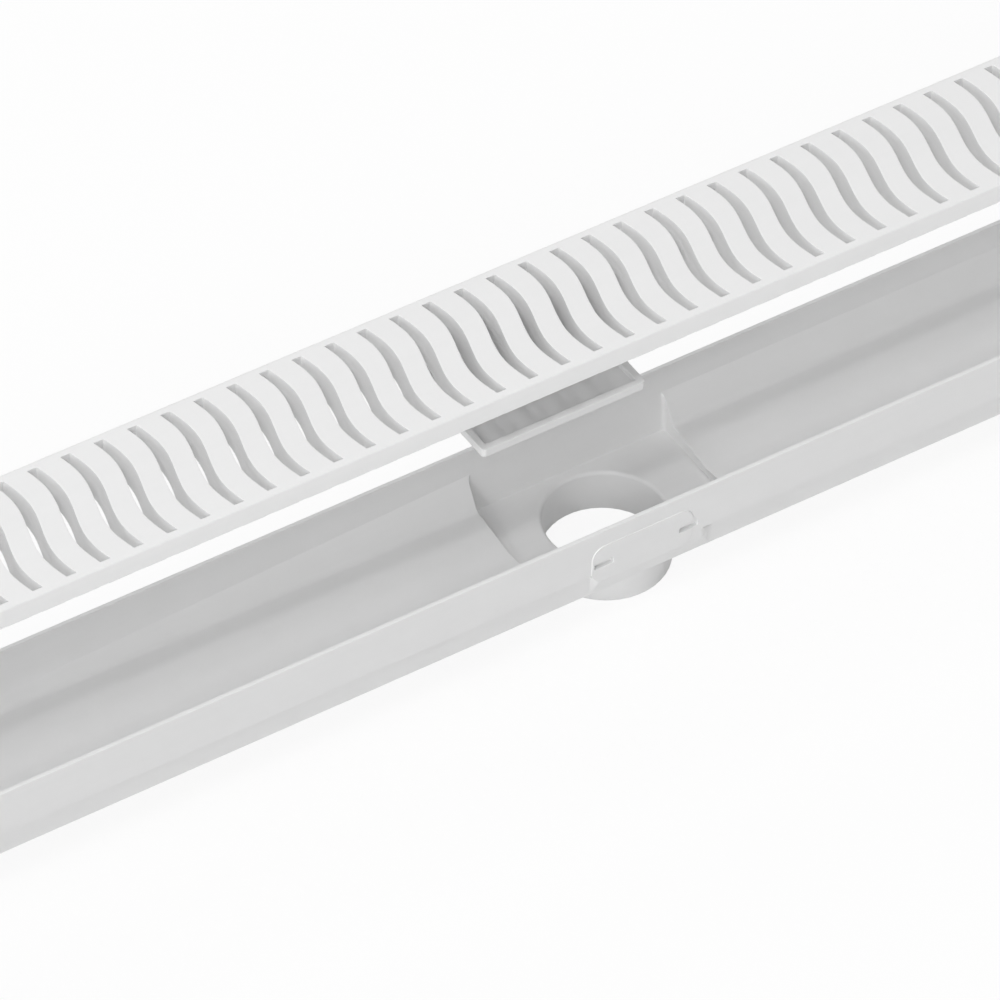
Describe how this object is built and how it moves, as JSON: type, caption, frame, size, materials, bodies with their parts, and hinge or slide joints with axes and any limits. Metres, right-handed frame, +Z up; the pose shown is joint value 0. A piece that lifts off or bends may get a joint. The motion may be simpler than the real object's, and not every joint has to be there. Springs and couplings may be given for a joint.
{
  "type": "linear channel drain",
  "caption": "Narrow floor channel with a central sump and round bottom outlet, a waved-slot grate and a shallow sump tray, shown lifted apart.",
  "frame": {"origin": "on the outlet's axis, at the lower rim of the outlet spigot", "axes": "+X along the channel, +Z up towards the grate, -Y is the way the face with the plain pad looks"},
  "size_m": [0.7012, 0.0628, 0.137],
  "materials": {
    "channel_plastic": "satin",
    "grate_plastic": "satin",
    "tray_plastic": "satin"
  },
  "bodies": {
    "root": {"channel": "channel_plastic", "grate": "grate_plastic", "sump_tray": "tray_plastic"}
  },
  "joints": []
}
